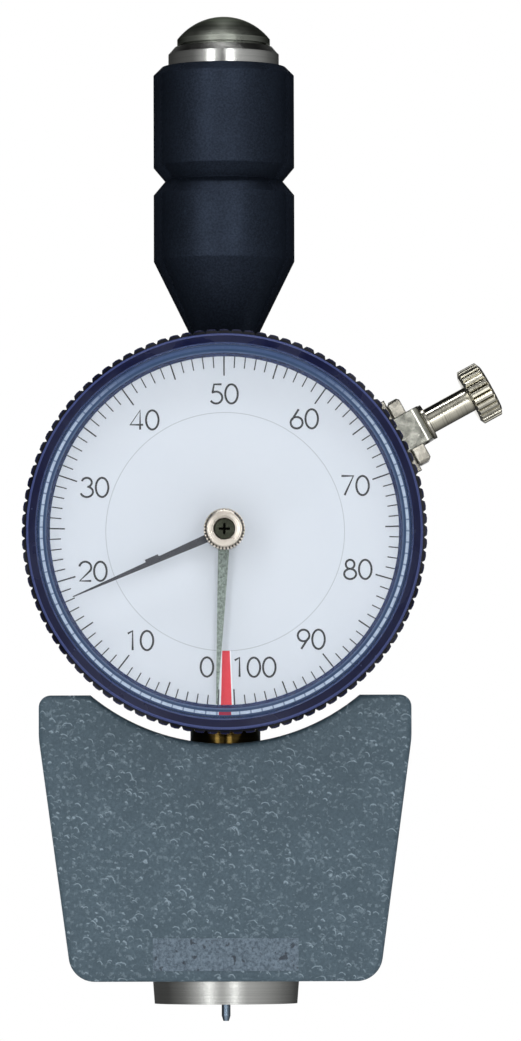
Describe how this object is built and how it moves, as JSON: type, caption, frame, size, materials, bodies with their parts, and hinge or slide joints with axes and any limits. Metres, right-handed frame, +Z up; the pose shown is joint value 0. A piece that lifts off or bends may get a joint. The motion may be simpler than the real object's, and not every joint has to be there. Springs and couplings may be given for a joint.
{
  "type": "hardness tester",
  "caption": "Hand-held dial hardness tester: spring-loaded indenter in a flat foot, rack and gear train, pointer and peak-hold pointer, turning bezel with clamp, round grip.",
  "frame": {"origin": "on the spindle's axis, half-way up the grip's upper band, where a stand's arm holds it", "axes": "+Z up along the spindle's axis, away from the indenter; the dial faces -Y; +X to the right of the dial"},
  "size_m": [0.068, 0.0335, 0.1436],
  "materials": {
    "hammertone_paint": "grey hammered enamel on a casting, rounded darker edges",
    "black_anodised": "satin black anodised, fine turning marks",
    "case_enamel": "black satin enamel",
    "turned_steel": "turned and ground bright steel",
    "hardened_steel": "hardened and polished",
    "spring_steel": "drawn spring wire",
    "nickel_plate": "nickel plate, slightly warm",
    "brass": "turned brass",
    "navy_plastic": "glossy moulded navy plastic",
    "clear_crystal": "clear moulded acrylic",
    "dial_white": "satin white print on aluminium",
    "pointer_grey": "grey-green lacquer",
    "pointer_dark": "dark blue-black lacquer",
    "label_film": "clear film over the paint, bare",
    "gasket_rubber": "plain"
  },
  "bodies": {
    "housing": {"presser_foot": "turned_steel", "calibrated_spring": "spring_steel", "body_block": "hammertone_paint", "stem_grub_screw": "spring_steel", "label_strip": "label_film", "stem": "brass", "stem_nut": "brass", "spring_adjuster": "brass", "case": "case_enamel", "case_snap_ring": "spring_steel", "cover_gasket": "gasket_rubber", "back_cover": "case_enamel", "back_cover_screws": "nickel_plate", "front_plate": "brass", "rear_plate": "brass", "plate_pillars": "brass", "pillar_screws": "turned_steel", "front_plate_screws": "turned_steel", "pivot_bushes": "brass", "hairspring": "spring_steel", "hairspring_stud": "brass", "grip": "black_anodised", "top_bush": "brass", "cap_collar": "turned_steel", "dome_cap": "turned_steel", "clamp_base": "nickel_plate", "clamp_bar": "nickel_plate", "clamp_base_screws": "turned_steel"},
    "spindle_set": {"indenter": "hardened_steel", "indenter_holder": "turned_steel", "spindle": "hardened_steel", "spring_seat": "turned_steel", "guide_pin": "hardened_steel"},
    "drive_gear": {"drive_arbor": "hardened_steel", "drive_wheel": "brass", "rack_pinion": "hardened_steel"},
    "pointer_set": {"centre_arbor": "hardened_steel", "centre_pinion": "hardened_steel", "main_pointer": "pointer_grey", "pointer_hub": "brass"},
    "take_up_gear": {"take_up_arbor": "hardened_steel", "take_up_wheel": "brass", "hairspring_collet": "brass"},
    "bezel_set": {"bezel": "navy_plastic", "crystal": "clear_crystal", "dial_plate": "dial_white", "dial_ring": "spring_steel"},
    "peak_set": {"peak_pointer": "pointer_dark", "peak_shaft": "brass", "peak_knob": "nickel_plate", "peak_screw": "spring_steel", "friction_washer": "spring_steel"},
    "clamp_set": {"clamp_strap": "nickel_plate", "clamp_washer": "nickel_plate"},
    "thumbscrew_set": {"thumbscrew": "nickel_plate"}
  },
  "joints": [
    {"name": "indenter_travel", "type": "slide", "parent": "housing", "child": "spindle_set", "axis": [0, 0, 1], "range_m": [0, 0.0025], "stiffness_N_per_m": 17784, "deforming": ["calibrated_spring"]},
    {"name": "pointer_turn", "type": "hinge", "parent": "housing", "child": "pointer_set", "pos_m": [0, -0.0086, -0.0595], "axis": [0, 1, 0], "range_deg": [0, 355]},
    {"name": "drive_gear_turn", "type": "hinge", "parent": "housing", "child": "drive_gear", "pos_m": [-0.00315, -0.0086, -0.05067], "axis": [0, 1, 0], "range_deg": [-89, 0]},
    {"name": "take_up_turn", "type": "hinge", "parent": "housing", "child": "take_up_gear", "pos_m": [-0.00663, -0.0086, -0.06613], "axis": [0, 1, 0], "range_deg": [-89, 0], "deforming": ["hairspring"]},
    {"name": "bezel_turn", "type": "hinge", "parent": "housing", "child": "bezel_set", "pos_m": [0, -0.0149, -0.0595], "axis": [0, 1, 0], "continuous": true},
    {"name": "peak_pointer_turn", "type": "hinge", "parent": "bezel_set", "child": "peak_set", "pos_m": [0, -0.01835, -0.0595], "axis": [0, 1, 0], "continuous": true},
    {"name": "clamp_press", "type": "slide", "parent": "housing", "child": "clamp_set", "axis": [-0.8771, 0, -0.4802], "range_m": [0, 0.0004]},
    {"name": "thumbscrew_turn", "type": "hinge", "parent": "clamp_set", "child": "thumbscrew_set", "pos_m": [0.03465, -0.00845, -0.04053], "axis": [-0.8771, 0, -0.4802], "range_deg": [0, 289]}
  ],
  "couplings": [
    {"joint": "pointer_turn", "follows": "indenter_travel", "rad_per_m": 2474.9},
    {"joint": "drive_gear_turn", "follows": "indenter_travel", "rad_per_m": -618.72},
    {"joint": "take_up_turn", "follows": "indenter_travel", "rad_per_m": -618.72},
    {"joint": "thumbscrew_turn", "follows": "clamp_press", "rad_per_m": 12566}
  ]
}
